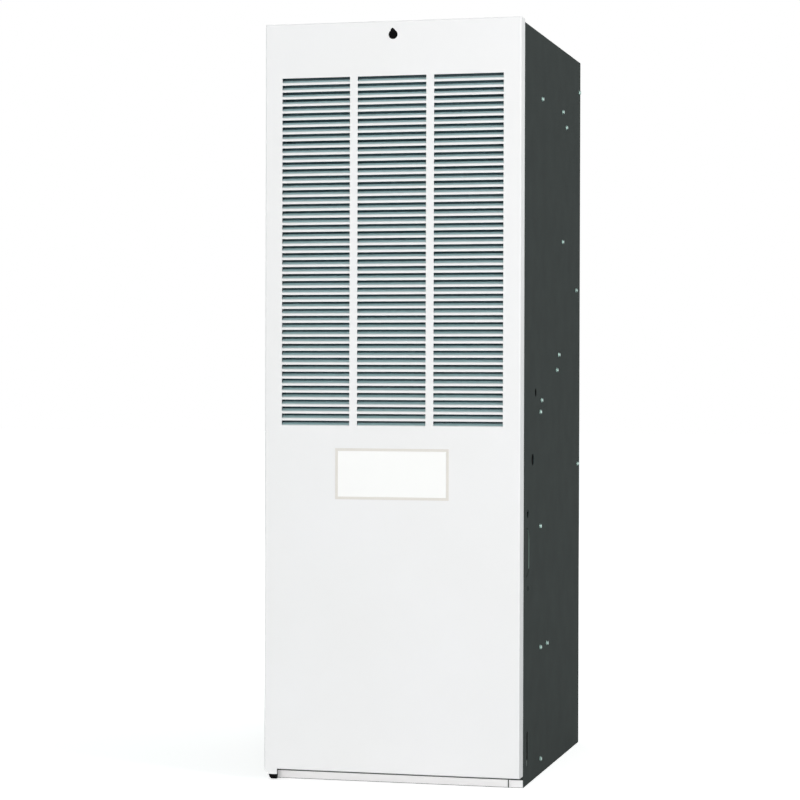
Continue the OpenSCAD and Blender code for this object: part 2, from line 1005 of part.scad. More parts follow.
module inducer_wheel() {
    color([0.1, 0.1, 0.11])
        place(inducer_x, inducer_front, inducer_height)
            facing_y() {
                translate([0, 0, 8])
                    pipe(52, 4, 2);
                translate([0, 0, 8])
                    pipe(12, 4, 20);
                translate([0, 0, 9])
                    linear_extrude(22)
                        for (i = [0:11])
                            rotate(i * 30)
                                blade_section(16, 51, 14, 1.6);
                translate([0, 0, -20])
                    cylinder(r = 4, h = 48);
            }
}

module inducer_motor() {
    color([0.22, 0.23, 0.24]) {
        place(inducer_x, inducer_front - 62, inducer_height)
            facing_y()
                difference() {
                    rotate_extrude()
                        polygon([
                            [0, 0], [26, 0], [36, 6], [36, 16], [39, 16], [39, 42],
                            [36, 42], [36, 50], [30, 54], [0, 54]
                        ]);
                    translate([0, 0, 38])
                        cylinder(r = 4 + running_gap, h = 30);
                }
        // standoffs to the housing
        for (a = [45:90:315])
            place(inducer_x + 32 * cos(a), inducer_front - 12, inducer_height + 32 * sin(a))
                facing_y()
                    cylinder(r = 3, h = 12);
    }
}

// ---------- flue and combustion air ----------

coupling_low = cabinet_height - 2 * socket_depth - 3;

module riser(x, low) {
    place(x, pipe_depth, low)
        pipe(pipe_radius, pipe_radius - 3.9, coupling_low + socket_depth - low);
}

module coupling(x) {
    bore = pipe_radius + pipe_play;
    place(x, pipe_depth, coupling_low)
        difference() {
            cylinder(r = bore + 4.4, h = 2 * socket_depth + 3);
            translate([0, 0, -1])
                cylinder(r = bore, h = socket_depth + 1);
            translate([0, 0, socket_depth - 1])
                cylinder(r = pipe_radius - 3.9, h = 5);
            translate([0, 0, socket_depth + 3])
                cylinder(r = bore, h = socket_depth + 1);
        }
}

module flue_pipe() {
    color([0.93, 0.93, 0.92])
        riser(flue_x, inducer_height + 72);
}

module flue_coupling() {
    color([0.93, 0.93, 0.92])
        coupling(flue_x);
}

module air_pipe() {
    color([0.93, 0.93, 0.92])
        riser(air_x, deck_height - 14);
}

module air_coupling() {
    color([0.93, 0.93, 0.92])
        coupling(air_x);
}

module pipe_grommets() {
    inner = pipe_radius + 2 * pipe_play + 4.4;
    color(black_plastic) {
        for (x = [flue_x, air_x])
            place(x, pipe_depth, cabinet_height - sheet)
                pipe(pipe_radius + 8, inner, sheet);
        for (x = [flue_x, air_x])
            place(x, pipe_depth, cabinet_height - sheet - 2)
                pipe(pipe_radius + 11, inner, 2);
        place(-half_width, gas_depth, gas_height)
            facing_x()
                pipe(19, 16.8, sheet + 2);
        place(-inner_half, gas_depth, gas_height)
            facing_x()
                pipe(22, 16.8, 2);
    }
}

// ---------- gas train ----------

burner_box_low = 118;
burner_box_front = 120;
box_half = burner_pitch * burner_count / 2;

module burner_box() {
    wall = sheet;
    color(galvanised) {
        difference() {
            block([-box_half, burner_box_front, burner_box_low],
                  [box_half, vestibule_depth, burner_box_top]);
            block([-box_half + wall, burner_box_front - 1, burner_box_low + wall],
                  [box_half - wall, vestibule_depth + 1, burner_box_top - wall]);
        }
        // cross rails that hold the burners
        for (z = [burner_height - 24, burner_height + 19])
            block([-box_half, burner_box_front + 14, z], [box_half, burner_box_front + 15, z + 5]);
    }
}

// Gun-type burner: venturi throat, flared at both ends
module burner() {
    facing_y()
        rotate_extrude()
            polygon([
                [15, 0], [17, 0], [13, 16], [13, 44], [17, 62], [17, 78],
                [15.6, 78], [15.6, 63], [11.6, 45], [11.6, 16]
            ]);
}

module burners() {
    color([0.62, 0.62, 0.6])
        for (i = [0:burner_count - 1]) {
            place(burner_x(i), 96, burner_height)
                burner();
            difference() {
                block([burner_x(i) - 16, burner_box_front + 15, burner_height - 24],
                      [burner_x(i) + 16, burner_box_front + 16.2, burner_height + 24]);
                place(burner_x(i), burner_box_front, burner_height)
                    facing_y()
                        cylinder(r = 12.6, h = 20);
            }
        }
}

module gas_manifold() {
    last = burner_x(burner_count - 1) + 18;
    color([0.3, 0.3, 0.31]) {
        place(gas_x, gas_depth, burner_height)
            facing_x()
                cylinder(r = 10.7, h = last - gas_x);
        place(gas_x, gas_depth, burner_height)
            sphere(r = 13);
        place(gas_x, gas_depth, burner_height)
            cylinder(r = 10.7, h = gas_valve_low - 6 - burner_height);
        place(last, gas_depth, burner_height)
            facing_x()
                cylinder(r = 13, h = 14, $fn = 6);
        for (i = [0:burner_count - 1])
            place(burner_x(i), gas_depth + 8, burner_height)
                facing_y() {
                    cylinder(r = 7, h = 10, $fn = 6);
                    cylinder(r = 4.5, h = 17);
                }
        // brackets to the burner box
        for (x = [-box_half + 8, box_half - 20])
            block([x, gas_depth, burner_height - 8], [x + 12, burner_box_front + 6, burner_height - 6.5]);
        for (x = [-box_half + 8, box_half - 20])
            block([x, burner_box_front - 2, burner_box_low],
                  [x + 12, burner_box_front, burner_height - 6.5]);
    }
}

gas_valve_low = 330;
gas_valve_high = 396;
valve_front = gas_depth - 14;

module gas_valve() {
    color([0.68, 0.68, 0.66]) {
        block([gas_x - 30, valve_front, gas_valve_low], [gas_x + 30, valve_front + 50, gas_valve_high]);
        place(gas_x, gas_depth, gas_valve_low - 6)
            cylinder(r = 15, h = 8, $fn = 6);
        place(gas_x, gas_depth, gas_valve_high)
            cylinder(r = 16, h = 8, $fn = 6);
        place(gas_x - 14, valve_front - 10, gas_valve_low + 42)
            facing_y()
                cylinder(r = 12, h = 14);
    }
    // terminal block
    color([0.1, 0.1, 0.11])
        difference() {
            block([gas_x + 2, valve_front - 8, gas_valve_low + 14],
                  [gas_x + 28, valve_front + tiny, gas_valve_high - 8]);
            block([gas_x + 9, valve_front - 9, lever_height - 11],
                  [gas_x + 21, valve_front, lever_height + 11]);
            place(gas_x + 7.5, valve_front - 5, lever_height)
                facing_x()
                    cylinder(r = 1.2 + running_gap, h = 15);
        }
}

lever_height = gas_valve_low + 36;

// Rocker that turns about a pin along X
module gas_valve_lever() {
    color([0.75, 0.1, 0.1])
        place(gas_x + 10, valve_front - 5, lever_height) {
            extrude_x(10)
                intersection() {
                    circle(8);
                    translate([-8, -8])
                        square([10, 16]);
                }
            // pin into the terminal block
            translate([-2, 0, 0])
                facing_x()
                    cylinder(r = 1.2, h = 14);
        }
}

module gas_inlet_pipe() {
    low = gas_valve_high + 8;
    color([0.3, 0.3, 0.31]) {
        place(gas_x, gas_depth, low)
            cylinder(r = 10.7, h = gas_height - low);
        place(gas_x, gas_depth, gas_height)
            sphere(r = 14);
        place(gas_end_x + 20, gas_depth, gas_height)
            facing_x()
                cylinder(r = 10.7, h = gas_x - gas_end_x - 20);
        place(gas_end_x, gas_depth, gas_height)
            facing_x()
                difference() {
                    cylinder(r = 16.5, h = 24);
                    translate([0, 0, -1])
                        cylinder(r = gas_bore, h = 19);
                }
    }
}

module igniter() {
    x = burner_x(burner_count - 1) + 22;
    color([0.88, 0.85, 0.78]) {
        block([x, vestibule_depth - 22, burner_height + 24], [x + 10, vestibule_depth - 8, burner_box_top - 1]);
        block([x - 8, vestibule_depth - 17, burner_height + 4],
              [x + 4, vestibule_depth - 13, burner_height + 28]);
    }
}

module flame_sensor() {
    x = burner_x(0) - 24;
    color([0.7, 0.69, 0.66]) {
        place(x, vestibule_depth - 15, burner_height + 2)
            cylinder(r = 1.6, h = burner_box_top - sheet - burner_height - 2);
        place(x, vestibule_depth - 15, burner_height + 30)
            cylinder(r = 4, h = burner_box_top - sheet - burner_height - 30);
    }
}

module rollout_switch() {
    color([0.12, 0.12, 0.13])
        place(button_x, button_depth, burner_box_top)
            difference() {
                union() {
                    cylinder(r = 9, h = 9);
                    translate([-16, -5, 0])
                        cube([32, 10, 1]);
                }
                translate([0, 0, 3])
                    cylinder(r = 3 + 0.3, h = 10);
            }
}

module rollout_button() {
    color([0.8, 0.1, 0.1])
        place(button_x, button_depth, burner_box_top + 5.5)
            cylinder(r = 3, h = 7);
}

// ---------- safety switches and controls ----------

module limit_switch() {
    color([0.35, 0.35, 0.36])
        place(-60, vestibule_depth - 12, burner_box_top + 24)
            facing_y() {
                cylinder(r = 9, h = 12);
                translate([-18, -6, 11])
                    cube([36, 12, 1]);
            }
}

module pressure_switch() {
    color([0.25, 0.25, 0.26])
        place(-70, vestibule_depth - 34, coil_low - 98) {
            facing_y() {
                cylinder(r = 32, h = 9);
                cylinder(r = 28, h = 17);
                translate([0, 0, -8])
                    cylinder(r = 9, h = 10);
            }
            translate([-12, 10, -38])
                cube([24, 24, 2]);
            translate([-12, 10, -38])
                cube([24, 2, 16]);
            translate([-12, 32, -38])
                cube([24, 2, 30]);
        }
}

module condensate_trap() {
    trap_low = coil_low - 158;
    color([0.09, 0.09, 0.1]) {
        block([20, vestibule_depth - 40, trap_low], [48, vestibule_depth, trap_low + 100]);
        place(34, vestibule_depth - 20, trap_low + 98)
            pipe(8, 5.5, coil_low - trap_low - 96);
        place(48 - tiny, vestibule_depth - 20, trap_low + 12)
            facing_x()
                pipe(7, 5, 16);
    }
}

board_low = [inner_half - 158, deck_height - 310];
board_high = board_low + [136, 160];

module control_board() {
    face = vestibule_depth - 16;
    color([0.1, 0.32, 0.2]) {
        block([board_low.x, face - 1.6, board_low.y], [board_high.x, face, board_high.y]);
        for (x = [board_low.x + 8, board_high.x - 8], z = [board_low.y + 8, board_high.y - 8])
            place(x, face - tiny, z)
                facing_y()
                    cylinder(r = 3, h = 16 + tiny);
    }
}

module board_parts() {
    face = vestibule_depth - 17.6;
    translate([board_low.x, 0, board_low.y]) {
        color([0.13, 0.13, 0.14]) {
            for (x = [12, 38, 64])
                block([x, face - 18, 110], [x + 20, face, 138]);
            block([12, face - 10, 6], [112, face, 18]);
            block([118, face - 12, 40], [130, face, 130]);
        }
        color([0.2, 0.22, 0.35])
            for (x = [22, 46, 70])
                place(x, face - 22, 60)
                    facing_y()
                        cylinder(r = 7, h = 22);
        color([0.7, 0.35, 0.75])
            block([82, face - 8, 40], [106, face, 46]);
    }
}

module transformer() {
    low = [inner_half - 72, vestibule_depth - 52, deck_height - 144];
    color([0.35, 0.36, 0.37]) {
        block([low.x, low.y, low.z], [low.x + 54, vestibule_depth - 2, low.z + 20]);
        block([low.x, low.y, low.z + 40], [low.x + 54, vestibule_depth - 2, low.z + 60]);
        block([low.x + 20, low.y, low.z], [low.x + 34, vestibule_depth - 2, low.z + 60]);
        block([low.x - 6, vestibule_depth - 2, low.z - 4], [low.x + 60, vestibule_depth, low.z + 64]);
    }
    color([0.75, 0.62, 0.3])
        for (x = [low.x + 4, low.x + 34])
            block([x, low.y - 4, low.z + 20], [x + 16, vestibule_depth - 6, low.z + 40]);
}

module junction_box() {
    wall = 1;
    low = [inner_half - 54, cable_depth - 32, cable_height - 34];
    high = [inner_half, cable_depth + 32, cable_height + 34];
    color([0.1, 0.1, 0.11])
        difference() {
            block(low, high);
            block([low.x + wall, low.y + wall, low.z + wall],
                  [high.x - wall, high.y - wall, high.z - wall]);
            place(inner_half - 2, cable_depth, cable_height)
                facing_x()
                    cylinder(r = cable_bore, h = 4);
        }
}

module door_switch() {
    color([0.12, 0.12, 0.13])
        difference() {
            union() {
                block([switch_x - 8, cabinet_front + sheet, switch_height - 25],
                      [switch_x + 8, cabinet_front + 4, switch_height + 25]);
                block([switch_x - 8, cabinet_front + 3, switch_height - 14],
                      [switch_x + 8, cabinet_front + 28, switch_height + 14]);
            }
            place(switch_x, cabinet_front, switch_height)
                facing_y()
                    cylinder(r = 3.3, h = 22);
        }
}

module door_switch_plunger() {
    color([0.9, 0.9, 0.88])
        place(switch_x, door_return, switch_height)
            facing_y()
                cylinder(r = 3, h = 16);
}

// Sheet-metal screws with a hexagon washer head
module cabinet_screws() {
    color(zinc)
        both_sides()
            for (spot = side_screws)
                place(half_width, spot.x, spot.y)
                    facing_x() {
                        translate([0, 0, -4 - sheet])
                            cylinder(r = screw_radius, h = 5 + sheet);
                        cylinder(r = 4.2, h = 0.8);
                        cylinder(r = 3.67, h = 3.4, $fn = 6);
                    }
}

left_side_panel();
right_side_panel();
back_panel();
top_panel();
base_pan();
toe_strip();
toe_end_block();
door_support_clip();
front_header();
door_gasket();
vestibule_panel();
blower_deck();
door_panel();
name_plate();
door_latch();
filter_rack();
filter_frame();
filter_media();
blower_scroll();
blower_side_left();
blower_side_right();
blower_wheel();
blower_shaft();
blower_motor();
motor_mount();
motor_capacitor();
exchanger_tubes();
rear_collector();
condensing_coil();
coil_fins();
header_box();
inducer_housing();
inducer_wheel();
inducer_motor();
flue_pipe();
flue_coupling();
air_pipe();
air_coupling();
pipe_grommets();
burner_box();
burners();
gas_manifold();
gas_valve();
gas_valve_lever();
gas_inlet_pipe();
igniter();
flame_sensor();
rollout_switch();
rollout_button();
limit_switch();
pressure_switch();
condensate_trap();
control_board();
board_parts();
transformer();
junction_box();
door_switch();
door_switch_plunger();
cabinet_screws();
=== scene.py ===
"""Looks of the forced air gas furnace: camera, light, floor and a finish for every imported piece."""

import math
from collections import namedtuple

import bmesh
import bpy
from mathutils import Matrix, Vector


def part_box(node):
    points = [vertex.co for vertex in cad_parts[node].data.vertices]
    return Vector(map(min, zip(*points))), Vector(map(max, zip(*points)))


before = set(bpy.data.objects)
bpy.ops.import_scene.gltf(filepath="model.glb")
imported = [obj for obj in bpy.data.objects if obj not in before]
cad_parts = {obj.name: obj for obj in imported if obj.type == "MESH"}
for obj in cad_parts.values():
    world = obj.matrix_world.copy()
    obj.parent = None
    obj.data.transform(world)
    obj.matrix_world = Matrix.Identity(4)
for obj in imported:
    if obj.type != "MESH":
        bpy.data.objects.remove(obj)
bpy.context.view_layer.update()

MM = 0.001


# ---------- camera ----------

# The photograph's viewpoint, fitted to the corners of the door and the cabinet.
IMAGE_WIDTH = 800  # pixels
FOCAL_LENGTH = 2437.7  # pixels
SENSOR_WIDTH = 36  # millimetres
VIEW_REACH = 60  # metres
CAMERA_PLACE = Vector((1.1111, -4.7112, 0.7532))  # metres
YAW = math.radians(13.981)
PITCH = math.radians(-0.446)
ROLL = math.radians(0.153)


def add_camera():
    forward = Vector((-math.sin(YAW) * math.cos(PITCH),
                      math.cos(YAW) * math.cos(PITCH),
                      math.sin(PITCH)))
    level_right = Vector((math.cos(YAW), math.sin(YAW), 0))
    level_up = level_right.cross(forward)
    right = level_right * math.cos(ROLL) + level_up * math.sin(ROLL)
    up = level_up * math.cos(ROLL) - level_right * math.sin(ROLL)
    lens = bpy.data.cameras.new("view")
    lens.sensor_width = SENSOR_WIDTH
    lens.lens = FOCAL_LENGTH / IMAGE_WIDTH * SENSOR_WIDTH
    lens.clip_end = VIEW_REACH
    camera = bpy.data.objects.new("view", lens)
    turn = Matrix((right, up, -forward)).transposed()
    camera.matrix_world = Matrix.Translation(CAMERA_PLACE) @ turn.to_4x4()
    bpy.context.scene.collection.objects.link(camera)
    bpy.context.scene.camera = camera


# ---------- nodes ----------

# A material, its node tree, the piece's own coordinates and the Principled shader
Surface = namedtuple("Surface", "material tree place shader")

# Added round a piece's box in metres, so that a region takes in its outermost faces
PAST_PIECE = Vector((1, 1, 1))


def to_linear(code):
    """Linear red, green, blue and alpha of an sRGB hex colour such as "f2f1f6"."""
    channels = [int(code[i:i + 2], 16) / 255 for i in (0, 2, 4)]
    return [c / 12.92 if c <= 0.04045 else ((c + 0.055) / 1.055) ** 2.4 for c in channels] + [1]


def add(tree, kind, inputs=None, **settings):
    """Adds a node.

    settings are its properties. inputs are its sockets, each given a value or another's output.
    """
    made = tree.nodes.new(kind)
    for name, value in settings.items():
        setattr(made, name, value)
    for name, value in (inputs or {}).items():
        if isinstance(value, bpy.types.NodeSocket):
            tree.links.new(value, made.inputs[name])
        else:
            made.inputs[name].default_value = value
    return made


def per_mm(size):
    """Texture scale at which one cell is size millimetres across, on Object coordinates."""
    return 1 / (size * MM)


def cleared_tree(owner):
    """The node tree of a material or world, switched on and emptied."""
    owner.use_nodes = True
    owner.node_tree.nodes.clear()
    return owner.node_tree


def new_surface(name, **sockets):
    """A material with a Principled shader. sockets are named with _ in the place of each space."""
    material = bpy.data.materials.new(name)
    tree = cleared_tree(material)
    place = add(tree, "ShaderNodeTexCoord").outputs["Object"]
    values = {socket.replace("_", " "): value for socket, value in sockets.items()}
    shader = add(tree, "ShaderNodeBsdfPrincipled", values)
    add(tree, "ShaderNodeOutputMaterial", {"Surface": shader.outputs["BSDF"]})
    return Surface(material, tree, place, shader)


def blend_colours(tree, factor, stops):
    """Colour that passes through (position, hex colour) stops as factor goes from 0 to 1."""
    ramp = add(tree, "ShaderNodeValToRGB", {"Fac": factor})
    while len(ramp.color_ramp.elements) < len(stops):
        ramp.color_ramp.elements.new(0.5)
    for element, (position, code) in zip(ramp.color_ramp.elements, stops):
        element.position = position
        element.color = to_linear(code)
    return ramp.outputs["Color"]


def set_colour(surface, factor, *stops):
    """Base colour through (position, hex colour) stops along factor."""
    colour = blend_colours(surface.tree, factor, stops)
    surface.tree.links.new(colour, surface.shader.inputs["Base Color"])


def set_roughness(surface, factor, low, high):
    """Roughness from low to high along factor."""
    roughness = add(surface.tree, "ShaderNodeMapRange",
                    {"Value": factor, "To Min": low, "To Max": high}).outputs["Result"]
    surface.tree.links.new(roughness, surface.shader.inputs["Roughness"])


def set_relief(surface, height, strength, distance):
    """Bumps up to distance millimetres high, softened by strength."""
    bump = add(surface.tree, "ShaderNodeBump",
               {"Height": height, "Strength": strength, "Distance": distance * MM})
    surface.tree.links.new(bump.outputs["Normal"], surface.shader.inputs["Normal"])


def region(piece, **spans):
    """Lowest and highest corner of a region of a piece, from spans on x, y or z in millimetres.

    An end of a span that is 0 or more is measured from the piece's lowest corner, and a negative
    one from its highest. None reaches past the piece, as does an axis without a span.
    """
    low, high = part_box(piece)
    corners = (low - PAST_PIECE, high + PAST_PIECE)
    for axis, span in spans.items():
        for corner, distance in zip(corners, span):
            if distance is not None:
                base = low if distance >= 0 else high
                setattr(corner, axis, getattr(base, axis) + distance * MM)
    return corners


def inside_box(surface, low, high):
    """1 inside the box between two corners in metres, and 0 outside it."""
    tree = surface.tree
    away = add(tree, "ShaderNodeVectorMath", {0: surface.place, 1: (low + high) / 2},
               operation="SUBTRACT").outputs[0]
    away = add(tree, "ShaderNodeVectorMath", {0: away}, operation="ABSOLUTE").outputs[0]
    share = add(tree, "ShaderNodeVectorMath", {0: away, 1: (high - low) / 2},
                operation="DIVIDE").outputs[0]
    sides = add(tree, "ShaderNodeSeparateXYZ", {"Vector": share}).outputs
    most = add(tree, "ShaderNodeMath", {0: sides["X"], 1: sides["Y"]},
               operation="MAXIMUM").outputs[0]
    most = add(tree, "ShaderNodeMath", {0: most, 1: sides["Z"]}, operation="MAXIMUM").outputs[0]
    return add(tree, "ShaderNodeMath", {0: most, 1: 1}, operation="LESS_THAN").outputs[0]


def paint_over(surface, mask, colour, metallic=None, roughness=None):
    """Another colour where mask is 1, from a hex code or an output.

    A metallic or roughness that isn't given stays as it is under the paint.
    """
    tree = surface.tree
    if isinstance(colour, str):
        colour = to_linear(colour)
    for name, kind, value in (("Base Color", "RGBA", colour),
                              ("Metallic", "FLOAT", metallic),
                              ("Roughness", "FLOAT", roughness)):
        if value is None:
            continue
        socket = surface.shader.inputs[name]
        under = socket.links[0].from_socket if socket.is_linked else socket.default_value
        mix = add(tree, "ShaderNodeMix", {"Factor": mask, "A": under, "B": value}, data_type=kind)
        tree.links.new(mix.outputs["Result"], socket)


# ---------- finishes ----------

# Where the louvres are on the door, and how far behind its face their shade starts and is full,
# in millimetres
LOUVRE_FIELD = {"x": (25, -25), "y": (0, 13), "z": (-800, -60)}
SHADE_START = 0.5
SHADE_FULL = 5

# All of the door but the sides that fold back
BETWEEN_FOLDED_SIDES = {"x": (3, -3)}

# How far a face's normal points along an axis, from which it counts as facing that way
FACING_SIDEWAYS = 0.7
FACING_FORWARDS = -0.5


def shade_louvres(surface):
    """Blue-green shade on the blades inside the louvre field, deeper at its foot than its top."""
    tree = surface.tree
    low, high = region("door_panel", **LOUVRE_FIELD)
    spot = add(tree, "ShaderNodeSeparateXYZ", {"Vector": surface.place}).outputs
    depth = add(tree, "ShaderNodeMapRange", {
        "Value": spot["Y"],
        "From Min": low.y + SHADE_START * MM,
        "From Max": low.y + SHADE_FULL * MM}).outputs["Result"]
    height = add(tree, "ShaderNodeMapRange", {
        "Value": spot["Z"], "From Min": low.z, "From Max": high.z}).outputs["Result"]
    blades = add(tree, "ShaderNodeMath", {0: inside_box(surface, low, high), 1: depth},
                 operation="MULTIPLY").outputs[0]
    shade = blend_colours(tree, height, [(0, "b9d9dc"), (1, "d2f0f3")])
    paint_over(surface, blades, shade, roughness=0.5)


def shade_folded_sides(surface):
    """The door's folded sides, painted a little greyer towards the floor as painted shade."""
    tree = surface.tree
    low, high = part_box("door_panel")
    normal = add(tree, "ShaderNodeNewGeometry").outputs["Normal"]
    across = add(tree, "ShaderNodeSeparateXYZ", {"Vector": normal}).outputs["X"]
    across = add(tree, "ShaderNodeMath", {0: across}, operation="ABSOLUTE").outputs[0]
    sideways = add(tree, "ShaderNodeMath", {0: across, 1: FACING_SIDEWAYS},
                   operation="GREATER_THAN").outputs[0]
    between = inside_box(surface, *region("door_panel", **BETWEEN_FOLDED_SIDES))
    folds = add(tree, "ShaderNodeMath", {0: sideways, 1: between}, operation="SUBTRACT",
                use_clamp=True).outputs[0]
    spot = add(tree, "ShaderNodeSeparateXYZ", {"Vector": surface.place}).outputs
    height = add(tree, "ShaderNodeMapRange", {
        "Value": spot["Z"], "From Min": low.z, "From Max": high.z}).outputs["Result"]
    tone = blend_colours(tree, height, [(0.1, "d4d4d6"), (0.85, "f1f1f2")])
    paint_over(surface, folds, tone, roughness=0.45)


def white_enamel(name, dark, light):
    """White baked enamel on sheet: a faint orange peel and a slow drift of tone."""
    surface = new_surface(name, IOR=1.5)
    tree, place = surface.tree, surface.place
    drift = add(tree, "ShaderNodeTexNoise",
                {"Vector": place, "Scale": per_mm(260), "Detail": 3}).outputs["Fac"]
    peel = add(tree, "ShaderNodeTexNoise",
               {"Vector": place, "Scale": per_mm(1.6), "Detail": 2}).outputs["Fac"]
    set_colour(surface, drift, (0.3, dark), (0.7, light))
    set_roughness(surface, drift, 0.4, 0.48)
    set_relief(surface, peel, 0.12, 0.02)
    shade_louvres(surface)
    shade_folded_sides(surface)
    return surface


def charcoal_coil_coat():
    """Dark pre-painted sheet: matt and almost even, with a mottle and a grit drawn too coarse."""
    surface = new_surface("charcoal_coil_coated_steel", IOR=1.5, Specular_IOR_Level=0.04)
    tree, place = surface.tree, surface.place
    mottle = add(tree, "ShaderNodeTexNoise",
                 {"Vector": place, "Scale": per_mm(60), "Detail": 5}).outputs["Fac"]
    grit = add(tree, "ShaderNodeTexNoise",
               {"Vector": place, "Scale": per_mm(0.9), "Detail": 2}).outputs["Fac"]
    set_colour(surface, mottle, (0.3, "373c3b"), (0.7, "3d4241"))
    set_roughness(surface, mottle, 0.78, 0.88)
    set_relief(surface, grit, 0.2, 0.03)
    return surface


# Rims of the right wall's openings, in millimetres: distance behind the door's face, height,
# how far they reach across and up, and their tone. The knockout's tone is bare zinc with a painted
# highlight, kept to the stretch of its rim that catches the light; the holes' dark tones are painted
# shade.
WALL_RIMS = (
    (65, 442, 60, 78, "6c7f78"),  # pressed gas knockout
    (121, 606, 26, 26, "2a3d3d"),  # cable knockout
    (74, 506, 18, 18, "2a3d3d"),  # round hole
    (77, 366.5, 12, 12, "2a3d3d"),  # small round hole
)
RIM_DEPTH = 2


def right_wall_finish():
    """The same sheet: bare zinc as a painted highlight on the knockout's sheared rim, painted shade
    on rims in holes.
    """
    surface = charcoal_coil_coat()
    tree = surface.tree
    door_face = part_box("door_panel")[0].y
    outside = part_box("right_side_panel")[1].x
    normal = add(tree, "ShaderNodeNewGeometry").outputs["Normal"]
    along = add(tree, "ShaderNodeSeparateXYZ", {"Vector": normal}).outputs["Y"]
    forwards = add(tree, "ShaderNodeMath", {0: along, 1: FACING_FORWARDS},
                   operation="LESS_THAN").outputs[0]
    for depth, height, across, tall, tone in WALL_RIMS:
        middle = Vector((outside, door_face + depth * MM, height * MM))
        reach = Vector((RIM_DEPTH * MM, across / 2 * MM, tall / 2 * MM))
        opening = inside_box(surface, middle - reach, middle + reach)
        rim = add(tree, "ShaderNodeMath", {0: opening, 1: forwards},
                  operation="MULTIPLY").outputs[0]
        paint_over(surface, rim, tone, metallic=0.4, roughness=0.5)
    return surface


def galvanised_sheet():
    """Hot-dip galvanised sheet: spangles 8 mm across, each lighter or duller than the next."""
    surface = new_surface("galvanised_steel_sheet", Metallic=1)
    tree = surface.tree
    spangle = add(tree, "ShaderNodeTexVoronoi", {"Vector": surface.place, "Scale": per_mm(8)})
    shade = add(tree, "ShaderNodeSeparateColor", {"Color": spangle.outputs["Color"]}).outputs
    set_colour(surface, shade["Red"], (0, "a9aeaf"), (1, "bfc3c4"))
    set_roughness(surface, shade["Green"], 0.36, 0.5)
    set_relief(surface, shade["Blue"], 0.08, 0.03)
    return surface


# The part of the pan that is painted dark grey, as painted shade
PAN_FRONT = {"y": (None, 50)}


def pan_finish():
    """Galvanised base pan whose front edge and corners are painted dark grey, as painted shade."""
    surface = galvanised_sheet()
    painted = inside_box(surface, *region("base_pan", **PAN_FRONT))
    paint_over(surface, painted, "545c58", metallic=0, roughness=0.8)
    return surface


def aluminised_sheet():
    """Aluminised steel round the burners: dull and pale, clouded brown by heat."""
    surface = new_surface("aluminised_steel_sheet", Metallic=1)
    cloud = add(surface.tree, "ShaderNodeTexNoise",
                {"Vector": surface.place, "Scale": per_mm(45), "Detail": 6}).outputs["Fac"]
    set_colour(surface, cloud, (0.3, "8d8780"), (0.6, "b1b0ab"))
    set_roughness(surface, cloud, 0.4, 0.55)
    set_relief(surface, cloud, 0.1, 0.1)
    return surface


def zinc_plate():
    """Blue-passivated zinc on the screws: a cool green-grey with soft cloudy patches."""
    surface = new_surface("zinc_plated_steel", Metallic=0.85)
    cloud = add(surface.tree, "ShaderNodeTexNoise",
                {"Vector": surface.place, "Scale": per_mm(3), "Detail": 3}).outputs["Fac"]
    set_colour(surface, cloud, (0.3, "8ba8a2"), (0.7, "c3dcd6"))
    set_roughness(surface, cloud, 0.3, 0.5)
    return surface


# Lines of rolling or drawing, in millimetres. The spacing is coarser than it is, to show.
LINE_LENGTH = 40
LINE_SPACING = 0.4


def drawn_metal(name, dark, light, along, roughness):
    """Rolled or drawn metal: fine bright and dull lines along one axis, which streak its sheen."""
    surface = new_surface(name, Metallic=1)
    tree = surface.tree
    stretch = [per_mm(LINE_LENGTH if axis == along else LINE_SPACING) for axis in "xyz"]
    stretched = add(tree, "ShaderNodeMapping", {"Vector": surface.place, "Scale": stretch})
    lines = add(tree, "ShaderNodeTexNoise",
                {"Vector": stretched.outputs["Vector"], "Scale": 1, "Detail": 3}).outputs["Fac"]
    set_colour(surface, lines, (0.3, dark), (0.7, light))
    set_roughness(surface, lines, roughness - 0.06, roughness + 0.08)
    set_relief(surface, lines, 0.15, 0.01)
    return surface


def black_iron_pipe():
    """Black iron pipe and fittings: a scaly blue-black skin, browner where it was handled."""
    surface = new_surface("black_iron_pipe", IOR=1.5)
    scale = add(surface.tree, "ShaderNodeTexNoise",
                {"Vector": surface.place, "Scale": per_mm(9), "Detail": 8}).outputs["Fac"]
    set_colour(surface, scale, (0.35, "26282b"), (0.55, "303235"), (0.72, "453d37"))
    set_roughness(surface, scale, 0.4, 0.7)
    set_relief(surface, scale, 0.3, 0.15)
    return surface


# The orifices on the manifold: behind its pipe and above its brackets, in front of the burners
ORIFICES = {"y": (23.8, 38.2), "z": (45.6, None)}


def manifold_pipe():
    """The burners' manifold: black iron with turned brass orifices towards the burners."""
    surface = black_iron_pipe()
    low, high = region("gas_manifold", **ORIFICES)
    low.x, high.x = (corner.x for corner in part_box("burners"))
    paint_over(surface, inside_box(surface, low, high), "b5914a", metallic=1, roughness=0.3)
    return surface


def moulded_plastic(name, dark, light, roughness, gloss=0.5):
    """Moulded plastic or rubber: an even colour with a spark-eroded grain, drawn coarse."""
    surface = new_surface(name, IOR=1.5, Specular_IOR_Level=gloss)
    tree, place = surface.tree, surface.place
    grain = add(tree, "ShaderNodeTexNoise",
                {"Vector": place, "Scale": per_mm(0.8), "Detail": 2}).outputs["Fac"]
    tone = add(tree, "ShaderNodeTexNoise",
               {"Vector": place, "Scale": per_mm(30), "Detail": 2}).outputs["Fac"]
    set_colour(surface, tone, (0.3, dark), (0.7, light))
    set_roughness(surface, grain, roughness - 0.06, roughness + 0.06)
    set_relief(surface, grain, 0.2, 0.02)
    return surface


